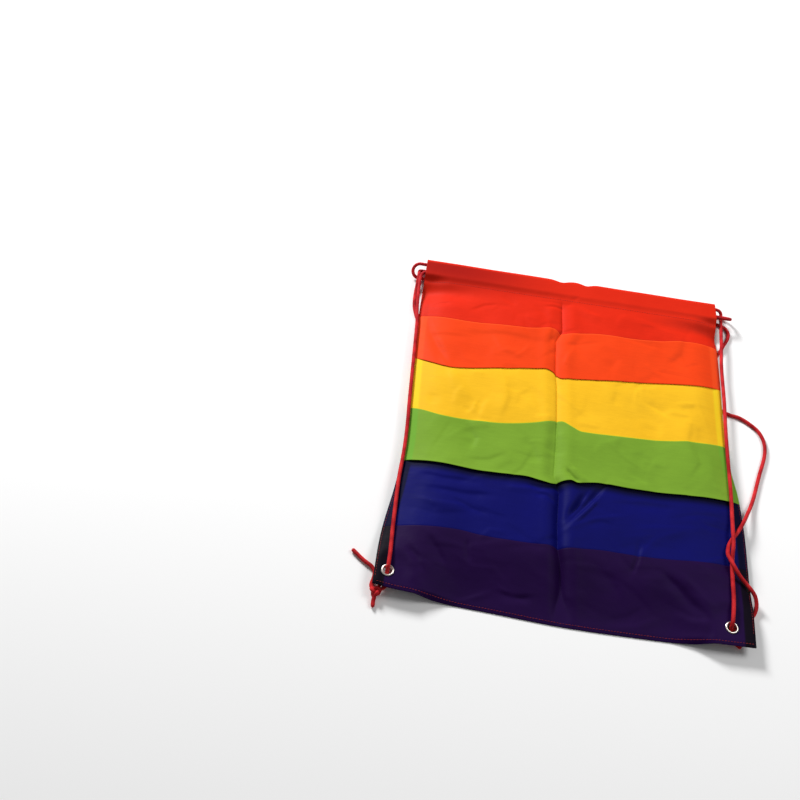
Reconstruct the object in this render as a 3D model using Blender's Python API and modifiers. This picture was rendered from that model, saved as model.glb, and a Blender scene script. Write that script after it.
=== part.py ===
"""Striped drawstring sack, lying flat on its back wall with its mouth towards +Y.

X runs across the sack, Y from the bottom seam to the mouth, and Z up from the surface that it lies on.
The front wall is up. Two drawcords run through the hem channels at the mouth. Each one comes out at its own
side, runs down that side and is knotted behind the eyelet in the bottom corner.
"""

import math

import bpy

# Driving dimensions, in metres
CLOTH = 0.0006            # wall thickness
GAP = 0.0003              # clearance between pieces that touch
CORD = 0.0038             # drawcord diameter
BOTTOM_EDGE = -0.2110     # y of the bottom seam at the middle
BOTTOM_BOW = 0.0070       # the bottom corners lie this much further up
FRONT_MOUTH = 0.2025      # y of the front wall's mouth edge
BACK_MOUTH = 0.2110       # y of the back wall's mouth edge
HALF_WIDTH = 0.170
SEAM_BOW = 0.0080         # a strip's seam rises this much to its ends
MOUTH_GAP = 0.0052        # free height between the two hems

# Half widths from the bottom seam to the mouth, as (y, distance from the middle)
LEFT_EDGE = [(-0.21, 0.172), (-0.15, 0.171), (-0.095, 0.1645), (-0.045, 0.161), (0.01, 0.163),
             (0.10, 0.166), (0.21, 0.1655)]
RIGHT_EDGE = [(-0.21, 0.170), (-0.10, 0.172), (-0.05, 0.1695), (-0.02, 0.165), (0.02, 0.162),
              (0.12, 0.1625), (0.21, 0.161)]

# Strips of cloth in each wall, from the bottom up: name, y of the upper seam at the middle, its slope, colour
STRIPS = [("purple", -0.141, 0.038, (0.017, 0.004, 0.045)),
          ("blue", -0.070, 0.030, (0.003, 0.003, 0.155)),
          ("green", -0.0045, 0.050, (0.205, 0.376, 0.032)),
          ("yellow", 0.066, 0.087, (0.880, 0.527, 0.024)),
          ("orange", 0.1285, 0.075, (0.871, 0.061, 0.018)),
          ("red", None, None, (0.716, 0.017, 0.007))]

# How the walls lie
PILLOW = 0.0139           # how far the front wall stands off the back wall in the middle
MARGIN_LIFT = 0.0050      # the side margins lie on the drawcords
MARGIN_START = 0.115
MARGIN_END = 0.138
MARGIN_FADE = (0.134, 0.168)
CORNER_LIFT = 0.0052      # more lift where a knot lies under a bottom corner
CORNER_AT = (0.160, -0.205)
CORNER_FLAT = 0.022
CORNER_FADE = 0.045
BOTTOM_FADE = 0.075
MOUTH_FADE = (0.128, 0.166)

# Hem channels, as (y, height) across each layer
STACK = CLOTH + GAP + CORD + GAP
HEM_TOP = STACK + CLOTH
FRONT_HEM = HEM_TOP + MOUTH_GAP
FRONT_TOP = FRONT_HEM + STACK + CLOTH
FRONT_CHANNEL = [(0.1725, FRONT_TOP - 0.0016), (0.1790, FRONT_TOP), (0.1990, FRONT_TOP),
                 (FRONT_MOUTH, FRONT_TOP - 0.0022)]
FRONT_HEM_SECTION = [(0.1735, FRONT_HEM + 0.0024), (0.1785, FRONT_HEM), (0.1985, FRONT_HEM),
                     (0.2018, FRONT_HEM + 0.0019)]
BACK_CHANNEL = [(0.1765, 0.0008), (0.1805, 0.0), (0.2060, 0.0), (BACK_MOUTH, 0.0012)]
BACK_HEM_SECTION = [(0.1773, 0.0023), (0.1805, HEM_TOP), (0.2055, HEM_TOP), (0.2102, 0.0027)]

# Columns of the cloth's grid, as shares of the half width
COLUMNS = [0.0, 0.2, 0.4, 0.6, 0.7, 0.78, 0.85, 0.91, 0.96, 1.0]
CORNER_COLUMNS = [0.0, 0.25, 0.45, 0.6, 0.7] + [0.77 + 0.023 * i for i in range(11)]
CORNER_STEP = 0.004

# Eyelets
EYELETS = {"left": (-0.160, -0.1895), "right": (0.149, -0.1935)}
SEAT = MARGIN_LIFT + CORNER_LIFT
SEAT_FLAT = 0.0124
SEAT_FADE = 0.014
HOLE_RADIUS = 0.0052
BARREL_RADIUS = 0.0049
BORE_RADIUS = 0.0043
FLANGE_RADIUS = 0.0064

# Drawcord runs inside the channels
RUN_END = 0.150           # the run starts this far from the middle, inside the channel
TURN_AT = 0.172           # the run turns from the front channel into the back one here
FRONT_RUN = FRONT_TOP - CLOTH - GAP - CORD / 2
BACK_RUN = CLOTH + GAP + CORD / 2
RUN_LOW = 0.1835
RUN_HIGH = 0.1955

# Hand-chosen routes of the loose stretches, in metres
LEFT_FRONT = [
    (-0.1503, 0.1835, 0.0136), (-0.160, 0.1835, 0.0136), (-0.1655, 0.1831, 0.0136), (-0.1690, 0.1808, 0.0134),
    (-0.1706, 0.175, 0.0128), (-0.1706, 0.165, 0.0119), (-0.1702, 0.152, 0.0109), (-0.1695, 0.138, 0.0102),
    (-0.1685, 0.126, 0.0098), (-0.1670, 0.112, 0.0098), (-0.1660, 0.0885, 0.0098), (-0.1645, 0.050, 0.0098),
    (-0.1630, 0.010, 0.0098), (-0.1612, -0.030, 0.0096), (-0.1610, -0.0605, 0.0096), (-0.1620, -0.0885, 0.0102),
    (-0.1615, -0.120, 0.0116), (-0.1610, -0.1445, 0.0130), (-0.1603, -0.1645, 0.0146), (-0.1600, -0.1750, 0.0154),
    (-0.1600, -0.1810, 0.0157), (-0.1600, -0.1845, 0.0154), (-0.1600, -0.1866, 0.0145), (-0.1600, -0.1880, 0.0127),
    (-0.1601, -0.1896, 0.0107), (-0.1604, -0.1913, 0.0087), (-0.1612, -0.1937, 0.0069),
    (-0.1632, -0.1983, 0.0056), (-0.1652, -0.2016, 0.0051)]
LEFT_BACK = [
    (-0.1503, 0.1955, 0.0028), (-0.160, 0.1955, 0.0028), (-0.1672, 0.1953, 0.0030), (-0.1715, 0.1935, 0.0046),
    (-0.1725, 0.1905, 0.0066), (-0.1727, 0.186, 0.0078), (-0.1728, 0.180, 0.0078), (-0.1730, 0.173, 0.0064),
    (-0.1733, 0.166, 0.0042), (-0.1735, 0.158, 0.0026), (-0.1732, 0.148, 0.0020), (-0.1720, 0.138, 0.0020),
    (-0.1685, 0.126, 0.0020), (-0.1630, 0.113, 0.0020), (-0.1575, 0.098, 0.0020), (-0.1540, 0.078, 0.0020),
    (-0.1520, 0.040, 0.0020), (-0.1505, 0.000, 0.0020), (-0.1500, -0.040, 0.0020), (-0.1500, -0.080, 0.0020),
    (-0.1510, -0.130, 0.0020), (-0.1530, -0.170, 0.0020), (-0.1560, -0.190, 0.0026),
    (-0.1605, -0.2020, 0.0040)]
RIGHT_FRONT = [
    (0.1503, 0.1955, 0.0136), (0.158, 0.1955, 0.0136), (0.1645, 0.1953, 0.0134), (0.1682, 0.1938, 0.0118),
    (0.1694, 0.1905, 0.0096), (0.1694, 0.186, 0.0084), (0.1688, 0.179, 0.0083), (0.1680, 0.168, 0.0088),
    (0.1673, 0.156, 0.0092), (0.1665, 0.144, 0.0095), (0.1652, 0.130, 0.0097), (0.1640, 0.1085, 0.0098),
    (0.1635, 0.0685, 0.0098), (0.1620, 0.030, 0.0098), (0.1612, -0.005, 0.0102), (0.1600, -0.0465, 0.0122),
    (0.1580, -0.080, 0.0144), (0.1565, -0.095, 0.0168), (0.1559, -0.104, 0.0178), (0.1553, -0.112, 0.0177),
    (0.1547, -0.1185, 0.0163), (0.1542, -0.126, 0.0144), (0.1535, -0.135, 0.0140), (0.1528, -0.148, 0.0145),
    (0.1520, -0.163, 0.0156), (0.1508, -0.176, 0.0160), (0.1498, -0.1845, 0.0158), (0.1493, -0.1885, 0.0154),
    (0.1491, -0.1906, 0.0145), (0.1490, -0.1920, 0.0127), (0.1490, -0.1932, 0.0105)]
RIGHT_BACK = [
    (0.1503, 0.1835, 0.0028), (0.160, 0.1835, 0.0028), (0.168, 0.183, 0.0027), (0.1755, 0.1795, 0.0023),
    (0.1787, 0.173, 0.0020), (0.1777, 0.165, 0.0020), (0.173, 0.155, 0.0020), (0.167, 0.143, 0.0020),
    (0.160, 0.129, 0.0020), (0.1555, 0.112, 0.0020), (0.154, 0.090, 0.0020), (0.156, 0.072, 0.0020),
    (0.162, 0.061, 0.0020), (0.171, 0.0565, 0.0020), (0.181, 0.0545, 0.0020), (0.191, 0.0485, 0.0020),
    (0.200, 0.0395, 0.0020), (0.2045, 0.026, 0.0020), (0.203, 0.009, 0.0020), (0.195, -0.0165, 0.0020),
    (0.187, -0.043, 0.0023), (0.1815, -0.057, 0.0042), (0.1768, -0.067, 0.0070), (0.1722, -0.0765, 0.0096),
    (0.1675, -0.0855, 0.0108), (0.162, -0.0945, 0.0122), (0.1560, -0.1035, 0.0135), (0.152, -0.1115, 0.0145),
    (0.150, -0.1205, 0.0160), (0.1512, -0.1275, 0.0177), (0.1534, -0.1335, 0.0184), (0.1566, -0.1390, 0.0174),
    (0.161, -0.1435, 0.0148), (0.166, -0.1475, 0.0124), (0.1705, -0.1520, 0.0112), (0.1745, -0.157, 0.0092),
    (0.1767, -0.163, 0.0054), (0.1759, -0.1695, 0.0028), (0.1722, -0.1755, 0.0021), (0.1665, -0.1815, 0.0024),
    (0.1605, -0.1868, 0.0036)]

# Knots, each with a longer and a shorter tail
KNOT_RADII = (0.0054, 0.0050, 0.0045)
KNOTS = {"left": (-0.1680, -0.2080, 0.0047), "right": (0.1500, -0.1950, 0.0047)}
TAILS = {
    "left_knot_long_tail": [
        (-0.1722, -0.2030, 0.0034), (-0.1722, -0.1990, 0.0024), (-0.1712, -0.1940, 0.0020),
        (-0.1712, -0.1880, 0.0020), (-0.1750, -0.1825, 0.0020), (-0.1830, -0.1775, 0.0020),
        (-0.1930, -0.1695, 0.0020)],
    "left_knot_short_tail": [
        (-0.1683, -0.2140, 0.0038), (-0.1686, -0.2168, 0.0028), (-0.1684, -0.2205, 0.0021)],
    "right_knot_long_tail": [
        (0.1441, -0.1975, 0.0038), (0.1405, -0.1995, 0.0027), (0.1350, -0.2010, 0.0021),
        (0.1285, -0.1990, 0.0020)],
    "right_knot_short_tail": [
        (0.1530, -0.2004, 0.0038), (0.1552, -0.2035, 0.0027), (0.1585, -0.2060, 0.0021)]}


def clear_scene():
    for item in list(bpy.data.objects):
        bpy.data.objects.remove(item, do_unlink=True)


def new_collection(name):
    made = bpy.data.collections.new(name)
    bpy.context.scene.collection.children.link(made)
    return made


def new_material(name, colour, roughness, metallic=0.0):
    made = bpy.data.materials.new(name)
    made.use_nodes = True
    shader = made.node_tree.nodes["Principled BSDF"]
    shader.inputs["Base Color"].default_value = (*colour, 1.0)
    shader.inputs["Roughness"].default_value = roughness
    shader.inputs["Metallic"].default_value = metallic
    made.diffuse_color = (*colour, 1.0)
    return made


def move_to(item, collection):
    for old in list(item.users_collection):
        old.objects.unlink(item)
    collection.objects.link(item)


def smooth(t):
    t = min(1.0, max(0.0, t))
    return t * t * (3 - 2 * t)


def mix(a, b, share):
    return a + (b - a) * share


def straight_between(points, t):
    """Reads a polyline of (t, value) pairs."""
    if t <= points[0][0]:
        return points[0][1]
    for (t0, v0), (t1, v1) in zip(points, points[1:]):
        if t <= t1:
            return mix(v0, v1, (t - t0) / (t1 - t0))
    return points[-1][1]


def eased_between(points, t):
    """Reads a smooth curve through (t, value) pairs: a cubic with the neighbours' mean slope at each pair."""
    t = min(points[-1][0], max(points[0][0], t))
    last = len(points) - 1
    slopes = []
    for i in range(len(points)):
        before, after = points[max(0, i - 1)], points[min(last, i + 1)]
        slopes.append((after[1] - before[1]) / (after[0] - before[0]))
    for i in range(last):
        (t0, v0), (t1, v1) = points[i], points[i + 1]
        if t <= t1:
            h = t1 - t0
            s = (t - t0) / h
            return ((2 * s**3 - 3 * s**2 + 1) * v0 + (s**3 - 2 * s**2 + s) * h * slopes[i]
                    + (3 * s**2 - 2 * s**3) * v1 + (s**3 - s**2) * h * slopes[i + 1])
    return points[-1][1]


def edge_x(share, y):
    """x at a share of the width, 0 at the left edge and 1 at the right one."""
    return mix(-eased_between(LEFT_EDGE, y), eased_between(RIGHT_EDGE, y), share)


def press(x, y):
    """1 where an eyelet clamps the walls together, 0 away from it."""
    nearest = min(math.hypot(x - ex, y - ey) for ex, ey in EYELETS.values())
    return 1 - smooth((nearest - SEAT_FLAT) / SEAT_FADE)


def lie(x, y):
    """Height of the back wall's underside, away from its channel."""
    margin = smooth((abs(x) - MARGIN_START) / (MARGIN_END - MARGIN_START))
    margin *= 1 - smooth((y - MARGIN_FADE[0]) / (MARGIN_FADE[1] - MARGIN_FADE[0]))
    corner = math.hypot(abs(x) - CORNER_AT[0], y - CORNER_AT[1])
    corner = 1 - smooth((corner - CORNER_FLAT) / CORNER_FADE)
    return MARGIN_LIFT * margin + CORNER_LIFT * corner


def back_under(x, y):
    height = mix(lie(x, y), SEAT, press(x, y))
    return height + (straight_between(BACK_CHANNEL, y) if y > BACK_CHANNEL[0][0] - 0.003 else 0.0)


def front_over(x, y):
    """Height of the front wall's outer face."""
    half = eased_between(RIGHT_EDGE if x > 0 else LEFT_EDGE, y)
    across = 1 - min(1.0, abs(x) / half) ** 4
    along = smooth((y - BOTTOM_EDGE) / BOTTOM_FADE)
    seam = lie(x, y) + 2 * CLOTH + 1.4 * GAP
    body = seam + PILLOW * across * along
    height = mix(body, straight_between(FRONT_CHANNEL, y),
                 smooth((y - MOUTH_FADE[0]) / (MOUTH_FADE[1] - MOUTH_FADE[0])))
    return mix(height, SEAT + 2 * CLOTH + 1.4 * GAP, press(x, y))


def bottom_y(x):
    return BOTTOM_EDGE + BOTTOM_BOW * (x / HALF_WIDTH) ** 2


def seam_y(number, x):
    """y of the upper seam of a strip, which runs at a slight slope and turns up at its ends."""
    return STRIPS[number][1] + STRIPS[number][2] * x + SEAM_BOW * (x / HALF_WIDTH) ** 4


def sheet(name, columns, row_count, row_y, height, grow, material, collection):
    """A sheet of cloth: a grid laid on height(x, y), with its thickness on one side of it."""
    shares = [0.5 - c / 2 for c in reversed(columns)] + [0.5 + c / 2 for c in columns[1:]]
    bpy.ops.mesh.primitive_grid_add(x_subdivisions=len(shares) - 1, y_subdivisions=row_count - 1, size=2)
    item = bpy.context.object
    item.name = name
    for point in item.data.vertices:
        share = shares[round((point.co.x + 1) / 2 * (len(shares) - 1))]
        row = round((point.co.y + 1) / 2 * (row_count - 1))
        x = edge_x(share, row_y(row, (share - 0.5) * 0.33))
        y = row_y(row, x)
        point.co = (x, y, height(x, y))
    wall = item.modifiers.new("thickness", "SOLIDIFY")
    wall.thickness = CLOTH
    wall.offset = grow
    item.data.materials.append(material)
    move_to(item, collection)
    return item


def strip_rows(number, mouth_rows):
    """Returns the number of rows of a strip and a function that gives a row's y at x."""
    corner_rows = 10 if number == 0 else 1
    plain = corner_rows + 3

    def low(x):
        return bottom_y(x) if number == 0 else seam_y(number - 1, x) + GAP / 2

    def high(x):
        return mouth_rows[0] if number == 5 else seam_y(number, x) - GAP / 2

    def row_y(row, x):
        if row >= plain:
            return mouth_rows[row - plain + 1]
        above = low(x) + CORNER_STEP * min(row, corner_rows - 1)
        return mix(above, high(x), max(0, row - corner_rows + 1) / (plain - corner_rows))

    return (plain + len(mouth_rows) - 1 if number == 5 else plain), row_y


def make_walls(parts, cutters):
    front_rows = [0.160] + [y for y, _ in FRONT_CHANNEL]
    back_rows = [0.160] + [y for y, _ in BACK_CHANNEL]
    for number, (colour_name, _, _, colour) in enumerate(STRIPS):
        cloth = new_material(f"{colour_name}_cloth", colour, 0.45)
        columns = CORNER_COLUMNS if number == 0 else COLUMNS
        count, row_y = strip_rows(number, front_rows)
        front = sheet(f"front_{colour_name}_strip", columns, count, row_y, front_over, -1, cloth, parts)
        count, row_y = strip_rows(number, back_rows)
        back = sheet(f"back_{colour_name}_strip", columns, count, row_y, back_under, 1, cloth, parts)
        if colour_name == "purple":
            for item in (front, back):
                cut_eyelet_holes(item, cutters)
    red = bpy.data.materials["red_cloth"]
    for side, section, grow in (("front", FRONT_HEM_SECTION, 1), ("back", BACK_HEM_SECTION, -1)):
        rows = [y for y, _ in section]
        sheet(f"{side}_channel_hem", [0.0, 0.5, 1.0], len(rows), lambda row, x, rows=rows: rows[row],
              lambda x, y, section=section: straight_between(section, y), grow, red, parts)


def cut_eyelet_holes(item, cutters):
    for side, (x, y) in EYELETS.items():
        name = f"{side}_hole_cutter"
        cutter = bpy.data.objects.get(name)
        if cutter is None:
            bpy.ops.mesh.primitive_cylinder_add(vertices=24, radius=HOLE_RADIUS, depth=0.02,
                                                location=(x, y, SEAT))
            cutter = bpy.context.object
            cutter.name = name
            cutter.hide_render = True
            cutter.display_type = "WIRE"
            move_to(cutter, cutters)
        hole = item.modifiers.new(name, "BOOLEAN")
        hole.operation = "DIFFERENCE"
        hole.object = cutter


def turned(name, profile, place, material, collection):
    """A ring turned from a closed profile of (radius, height) points, outer side running down."""
    mesh = bpy.data.meshes.new(name)
    edges = [(i, (i + 1) % len(profile)) for i in range(len(profile))]
    mesh.from_pydata([(radius, 0, height) for radius, height in profile], edges, [])
    item = bpy.data.objects.new(name, mesh)
    item.location = place
    collection.objects.link(item)
    screw = item.modifiers.new("turn", "SCREW")
    screw.axis = "Z"
    screw.steps = 24
    screw.render_steps = 24
    screw.use_merge_vertices = True
    screw.merge_threshold = 0.00001
    item.data.materials.append(material)
    return item


def make_eyelets(collection):
    nickel = new_material("nickel", (0.62, 0.60, 0.57), 0.25, 1.0)
    top = 2 * CLOTH + 1.4 * GAP
    under = -2.4 * GAP
    rim = [(0.0045, top + 0.0010), (0.0054, top + 0.0012), (0.0062, top + 0.0009),
           (FLANGE_RADIUS, top + 0.0006), (0.0062, top + GAP), (BARREL_RADIUS, top + GAP),
           (BARREL_RADIUS, under), (BORE_RADIUS, under), (BORE_RADIUS, top + 0.0007)]
    washer = [(HOLE_RADIUS, -GAP), (FLANGE_RADIUS, -GAP), (FLANGE_RADIUS, under), (HOLE_RADIUS, under)]
    for side, (x, y) in EYELETS.items():
        turned(f"{side}_eyelet", rim, (x, y, SEAT), nickel, collection)
        turned(f"{side}_eyelet_washer", washer, (x, y, SEAT), nickel, collection)


def through(route, spacing):
    """Points about one spacing apart on a smooth curve through the route's points."""
    points = []
    for i in range(len(route) - 1):
        p0, p1 = route[max(0, i - 1)], route[i]
        p2, p3 = route[i + 1], route[min(len(route) - 1, i + 2)]
        steps = max(1, round(math.dist(p1, p2) / spacing))
        for step in range(steps):
            t = step / steps
            points.append(tuple(
                0.5 * (2 * b + (c - a) * t + (2 * a - 5 * b + 4 * c - d) * t**2
                       + (3 * b - a - 3 * c + d) * t**3)
                for a, b, c, d in zip(p0, p1, p2, p3)))
    points.append(route[-1])
    return points


def cord(name, points, material, collection):
    """A round cord along its centre line."""
    line = bpy.data.curves.new(name, "CURVE")
    line.dimensions = "3D"
    line.bevel_depth = CORD / 2
    line.bevel_resolution = 2
    line.use_fill_caps = True
    spline = line.splines.new("POLY")
    spline.points.add(len(points) - 1)
    for point, place in zip(spline.points, points):
        point.co = (*place, 1.0)
    item = bpy.data.objects.new(name, line)
    item.data.materials.append(material)
    collection.objects.link(item)
    return item


def run_route(side, front_y, back_y):
    """From inside the front channel, across to the other side, round into the back channel and back again."""
    straight = [-RUN_END + (TURN_AT + RUN_END) * i / 14 for i in range(15)]
    middle_y, middle_z = (front_y + back_y) / 2, (FRONT_RUN + BACK_RUN) / 2
    half_y, half_z = (front_y - back_y) / 2, (FRONT_RUN - BACK_RUN) / 2
    radius = math.hypot(half_y, half_z)
    points = [(side * x, front_y, FRONT_RUN) for x in straight]
    for i in range(1, 12):
        angle = math.pi * i / 12
        points.append((side * (TURN_AT + radius * math.sin(angle)),
                       middle_y + half_y * math.cos(angle), middle_z + half_z * math.cos(angle)))
    points += [(side * x, back_y, BACK_RUN) for x in reversed(straight)]
    return points


def make_cords(collection):
    braid = new_material("red_braid", (0.68, 0.03, 0.035), 0.7)
    cord("left_drawcord_run", run_route(1, RUN_LOW, RUN_HIGH), braid, collection)
    cord("right_drawcord_run", run_route(-1, RUN_HIGH, RUN_LOW), braid, collection)
    strands = {"left_front_strand": LEFT_FRONT, "left_back_strand": LEFT_BACK,
               "right_front_strand": RIGHT_FRONT, "right_back_strand": RIGHT_BACK}
    for name, route in strands.items():
        cord(name, through(route, 2.6 * CORD), braid, collection)
    for name, route in TAILS.items():
        cord(name, through(route, 1.5 * CORD), braid, collection)
    for side, place in KNOTS.items():
        bpy.ops.mesh.primitive_uv_sphere_add(segments=16, ring_count=10, radius=1, location=place)
        knot = bpy.context.object
        knot.name = f"{side}_knot"
        knot.scale = KNOT_RADII
        knot.data.materials.append(braid)
        knot.data.shade_smooth()
        move_to(knot, collection)


def main():
    clear_scene()
    parts = new_collection("drawstring_sack")
    cutters = new_collection("cutters")
    make_walls(parts, cutters)
    make_eyelets(parts)
    make_cords(parts)


main()
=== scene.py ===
# %% [markdown]
# # A striped drawstring sack, flat on a pale floor
# The sack is two walls of thin woven polyester, each sewn from six coloured strips. A channel at the mouth of
# each wall holds two braided cords, which run down the sides and are knotted behind an eyelet in each bottom
# corner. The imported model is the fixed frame: it says where everything is, and this script adds the looks.

# %% Load the frame
import math

import bmesh
import bpy
import numpy as np
from mathutils import Matrix, Vector


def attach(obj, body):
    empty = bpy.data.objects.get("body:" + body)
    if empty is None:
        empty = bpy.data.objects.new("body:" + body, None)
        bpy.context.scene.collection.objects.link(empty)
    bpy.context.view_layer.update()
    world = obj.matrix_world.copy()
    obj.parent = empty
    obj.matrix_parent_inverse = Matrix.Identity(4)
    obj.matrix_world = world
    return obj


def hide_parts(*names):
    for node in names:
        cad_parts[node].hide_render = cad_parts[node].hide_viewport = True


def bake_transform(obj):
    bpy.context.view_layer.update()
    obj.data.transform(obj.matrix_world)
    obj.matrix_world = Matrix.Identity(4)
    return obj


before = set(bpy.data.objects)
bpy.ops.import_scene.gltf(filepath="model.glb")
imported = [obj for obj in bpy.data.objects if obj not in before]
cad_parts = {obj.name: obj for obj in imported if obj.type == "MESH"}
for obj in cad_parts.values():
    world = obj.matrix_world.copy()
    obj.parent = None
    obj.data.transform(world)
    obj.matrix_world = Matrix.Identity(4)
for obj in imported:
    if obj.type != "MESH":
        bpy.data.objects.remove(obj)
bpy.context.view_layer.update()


# %% [markdown]
# ## Camera
# The camera stands over the foot of the sack and looks down on it at about fifty degrees, rolled a little, so
# that the sack seems to lie askew on the floor. It aims at a point beside the sack, which puts the sack in the
# right half of the view without shifting the lens.

# %% Camera
def stand_camera(azimuth, elevation, roll, distance, target, lens):
    """Adds a camera that looks at the target from a distance, turned by roll about its own line of sight."""
    a, e, r = (math.radians(angle) for angle in (azimuth, elevation, roll))
    back = Vector((math.sin(a) * math.cos(e), -math.cos(a) * math.cos(e), math.sin(e)))
    right = Vector((math.cos(a), math.sin(a), 0.0))
    up = back.cross(right)
    across = math.cos(r) * right + math.sin(r) * up
    over = -math.sin(r) * right + math.cos(r) * up
    camera = bpy.data.objects.new("camera", bpy.data.cameras.new("camera"))
    place = Matrix((across, over, back)).transposed().to_4x4()
    place.translation = Vector(target) + back * distance
    camera.matrix_world = place
    camera.data.lens = lens
    bpy.context.scene.collection.objects.link(camera)
    return camera


bpy.context.scene.camera = stand_camera(
    azimuth=-0.10, elevation=52.26, roll=8.92, distance=1.0197, target=(-0.1722, 0.0106, 0.0), lens=45.0)
print("camera at", [round(value, 3) for value in bpy.context.scene.camera.location])


# %% [markdown]
# ## Routes of the drawcords
# Each drawcord is one limp braided cord, 3.8 mm thick. It starts at its eyelet, comes up along the side, goes
# through the front channel to the other side, turns, comes back through the rear channel and goes down behind
# the side to the same eyelet. A smooth curve through the listed points keeps it from looking like bent wire.

# %% Cord points
CORD = 0.0038
CORD_RADIUS = CORD / 2
FRONT_RUN = 0.0136        # height of the cords in the front channel
BACK_RUN = 0.0028
RUN_LOW = 0.1835          # y of the lower and the upper cord in a channel
RUN_HIGH = 0.1955
RUN_END = 0.150
TURN_AT = 0.172

LEFT_FRONT = [
    (-0.1503, 0.1835, 0.0136), (-0.160, 0.1835, 0.0136), (-0.1655, 0.1831, 0.0136), (-0.1690, 0.1808, 0.0134),
    (-0.1706, 0.175, 0.0128), (-0.1706, 0.165, 0.0119), (-0.1702, 0.152, 0.0109), (-0.1695, 0.138, 0.0102),
    (-0.1685, 0.126, 0.0098), (-0.1670, 0.112, 0.0098), (-0.1660, 0.0885, 0.0098), (-0.1645, 0.050, 0.0098),
    (-0.1630, 0.010, 0.0098), (-0.1612, -0.030, 0.0096), (-0.1610, -0.0605, 0.0096), (-0.1620, -0.0885, 0.0102),
    (-0.1615, -0.120, 0.0116), (-0.1610, -0.1445, 0.0130), (-0.1603, -0.1645, 0.0146), (-0.1600, -0.1750, 0.0154),
    (-0.1600, -0.1810, 0.0157), (-0.1600, -0.1845, 0.0154), (-0.1600, -0.1866, 0.0145), (-0.1600, -0.1880, 0.0127),
    (-0.1601, -0.1896, 0.0107), (-0.1604, -0.1913, 0.0087), (-0.1612, -0.1937, 0.0069),
    (-0.1632, -0.1983, 0.0056), (-0.1652, -0.2016, 0.0051)]
LEFT_BACK = [
    (-0.1503, 0.1955, 0.0028), (-0.160, 0.1955, 0.0028), (-0.1672, 0.1953, 0.0030), (-0.1715, 0.1935, 0.0046),
    (-0.1725, 0.1905, 0.0066), (-0.1727, 0.186, 0.0078), (-0.1728, 0.180, 0.0078), (-0.1730, 0.173, 0.0064),
    (-0.1733, 0.166, 0.0042), (-0.1735, 0.158, 0.0026), (-0.1732, 0.148, 0.0020), (-0.1720, 0.138, 0.0020),
    (-0.1685, 0.126, 0.0020), (-0.1630, 0.113, 0.0020), (-0.1575, 0.098, 0.0020), (-0.1540, 0.078, 0.0020),
    (-0.1520, 0.040, 0.0020), (-0.1505, 0.000, 0.0020), (-0.1500, -0.040, 0.0020), (-0.1500, -0.080, 0.0020),
    (-0.1510, -0.130, 0.0020), (-0.1530, -0.170, 0.0020), (-0.1560, -0.190, 0.0026),
    (-0.1605, -0.2020, 0.0040)]
RIGHT_FRONT = [
    (0.1503, 0.1955, 0.0136), (0.158, 0.1955, 0.0136), (0.1645, 0.1953, 0.0134), (0.1682, 0.1938, 0.0118),
    (0.1694, 0.1905, 0.0096), (0.1694, 0.186, 0.0084), (0.1688, 0.179, 0.0083), (0.1680, 0.168, 0.0088),
    (0.1673, 0.156, 0.0092), (0.1665, 0.144, 0.0095), (0.1652, 0.130, 0.0097), (0.1640, 0.1085, 0.0098),
    (0.1635, 0.0685, 0.0098), (0.1620, 0.030, 0.0098), (0.1612, -0.005, 0.0102), (0.1600, -0.0465, 0.0122),
    (0.1580, -0.080, 0.0144), (0.1565, -0.095, 0.0168), (0.1559, -0.104, 0.0178), (0.1553, -0.112, 0.0177),
    (0.1547, -0.1185, 0.0163), (0.1542, -0.126, 0.0144), (0.1535, -0.135, 0.0140), (0.1528, -0.148, 0.0145),
    (0.1520, -0.163, 0.0156), (0.1508, -0.176, 0.0160), (0.1498, -0.1845, 0.0158), (0.1493, -0.1885, 0.0154),
    (0.1491, -0.1906, 0.0145), (0.1490, -0.1920, 0.0127), (0.1490, -0.1932, 0.0105)]
RIGHT_BACK = [
    (0.1503, 0.1835, 0.0028), (0.160, 0.1835, 0.0028), (0.168, 0.183, 0.0027), (0.1755, 0.1795, 0.0023),
    (0.1787, 0.173, 0.0020), (0.1777, 0.165, 0.0020), (0.173, 0.155, 0.0020), (0.167, 0.143, 0.0020),
    (0.160, 0.129, 0.0020), (0.1555, 0.112, 0.0020), (0.154, 0.090, 0.0020), (0.156, 0.072, 0.0020),
    (0.162, 0.061, 0.0020), (0.171, 0.0565, 0.0020), (0.181, 0.0545, 0.0020), (0.191, 0.0485, 0.0020),
    (0.200, 0.0395, 0.0020), (0.2045, 0.026, 0.0020), (0.203, 0.009, 0.0020), (0.195, -0.0165, 0.0020),
    (0.187, -0.043, 0.0023), (0.1815, -0.057, 0.0042), (0.1768, -0.067, 0.0070), (0.1722, -0.0765, 0.0096),
    (0.1675, -0.0855, 0.0108), (0.162, -0.0945, 0.0122), (0.1560, -0.1035, 0.0135), (0.152, -0.1115, 0.0145),
    (0.150, -0.1205, 0.0160), (0.1512, -0.1275, 0.0177), (0.1534, -0.1335, 0.0184), (0.1566, -0.1390, 0.0174),
    (0.161, -0.1435, 0.0148), (0.166, -0.1475, 0.0124), (0.1705, -0.1520, 0.0112), (0.1745, -0.157, 0.0092),
    (0.1767, -0.163, 0.0054), (0.1759, -0.1695, 0.0028), (0.1722, -0.1755, 0.0021), (0.1665, -0.1815, 0.0024),
    (0.1605, -0.1868, 0.0036)]
print("route points:", sum(len(r) for r in (LEFT_FRONT, LEFT_BACK, RIGHT_FRONT, RIGHT_BACK)))


# %% [markdown]
# ## From points to a smooth line
# A cord bends evenly, so its route is a smooth curve through the points above. It is then cut into steps of one
# length, which keeps the braid from stretching. Inside the channels a cord runs straight and makes a half turn
# at the far end, and that part is worked out from the channel's own sizes.

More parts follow.
